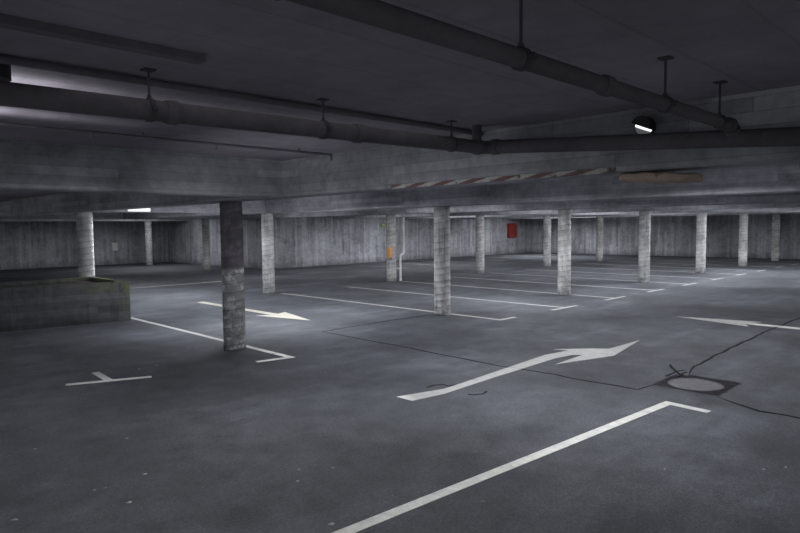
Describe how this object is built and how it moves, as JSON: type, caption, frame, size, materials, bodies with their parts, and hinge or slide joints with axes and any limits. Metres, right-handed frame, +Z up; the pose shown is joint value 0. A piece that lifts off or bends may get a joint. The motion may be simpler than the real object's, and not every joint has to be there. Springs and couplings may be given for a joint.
{
  "type": "car park storey",
  "caption": "Open storey of a concrete car park with round columns, deep beams, board-marked walls, ceiling pipes, lamps, a planter and painted bays.",
  "frame": {"origin": "centre of the bounding box at the underside of the floor slab", "axes": "+Z up; +X along the main aisle; +Y from the open near side towards the back wall"},
  "size_m": [39.6, 39.6, 3.72],
  "materials": {
    "slab_concrete": "cast concrete, flat and pale grey",
    "beam_concrete": "board-marked concrete",
    "column_concrete": "concrete with ring seams and stains",
    "wall_concrete": "concrete with upright board marks",
    "planter_concrete": "damp concrete with green algae",
    "asphalt": "worn blue-grey asphalt",
    "soil": "dark crumbly soil",
    "drain_iron": "dark painted cast iron",
    "hanger_steel": "dark, dull steel",
    "pale_plastic": "pale grey plastic",
    "red_paint": "dull red paint",
    "tray_metal": "dark painted sheet steel",
    "downpipe_plastic": "light grey plastic",
    "lamp_body": "dark plastic",
    "lamp_glass": "opal cover, lit",
    "manhole_iron": "worn cast iron",
    "cover_infill": "asphalt-grey infill in an iron rim",
    "warning_stripes": "red and white slanted stripes",
    "yellow_foam": "faded yellow foam rubber",
    "sign_green": "green lit sign face",
    "orange_paint": "orange painted box",
    "road_paint": "worn white road paint"
  },
  "bodies": {
    "root": {"floor_slab": "slab_concrete", "asphalt": "asphalt", "roof_slab": "slab_concrete", "roof_upstand": "slab_concrete", "edge_beams": "beam_concrete", "deep_beam": "beam_concrete", "left_beam": "beam_concrete", "cross_beams": "beam_concrete", "row_beam": "beam_concrete", "wing_beams": "beam_concrete", "columns_near_edge": "column_concrete", "columns_left_edge": "column_concrete", "columns_row_a": "column_concrete", "columns_row_b": "column_concrete", "columns_wing": "column_concrete", "wall_back": "wall_concrete", "wall_wing_side": "wall_concrete", "wall_wing_end": "wall_concrete", "wall_right_end": "wall_concrete", "guard_walls": "wall_concrete", "planter": "planter_concrete", "soil": "soil", "drain_pipe": "drain_iron", "branch_pipe": "drain_iron", "pipe_hangers": "hanger_steel", "lamp_conduit": "tray_metal", "sprinkler_pipe": "tray_metal", "cable_tray": "tray_metal", "downpipe": "downpipe_plastic", "lamp_housings": "lamp_body", "lamp_glasses": "lamp_glass", "batten_lamp": "pale_plastic", "batten_glass": "lamp_glass", "manhole_frame": "manhole_iron", "manhole_cover": "cover_infill", "warning_strip": "warning_stripes", "warning_pad": "yellow_foam", "exit_sign": "sign_green", "call_box": "orange_paint", "hose_cabinet": "red_paint", "switch_box": "pale_plastic", "bay_lines": "road_paint", "arrows": "road_paint"}
  },
  "joints": []
}
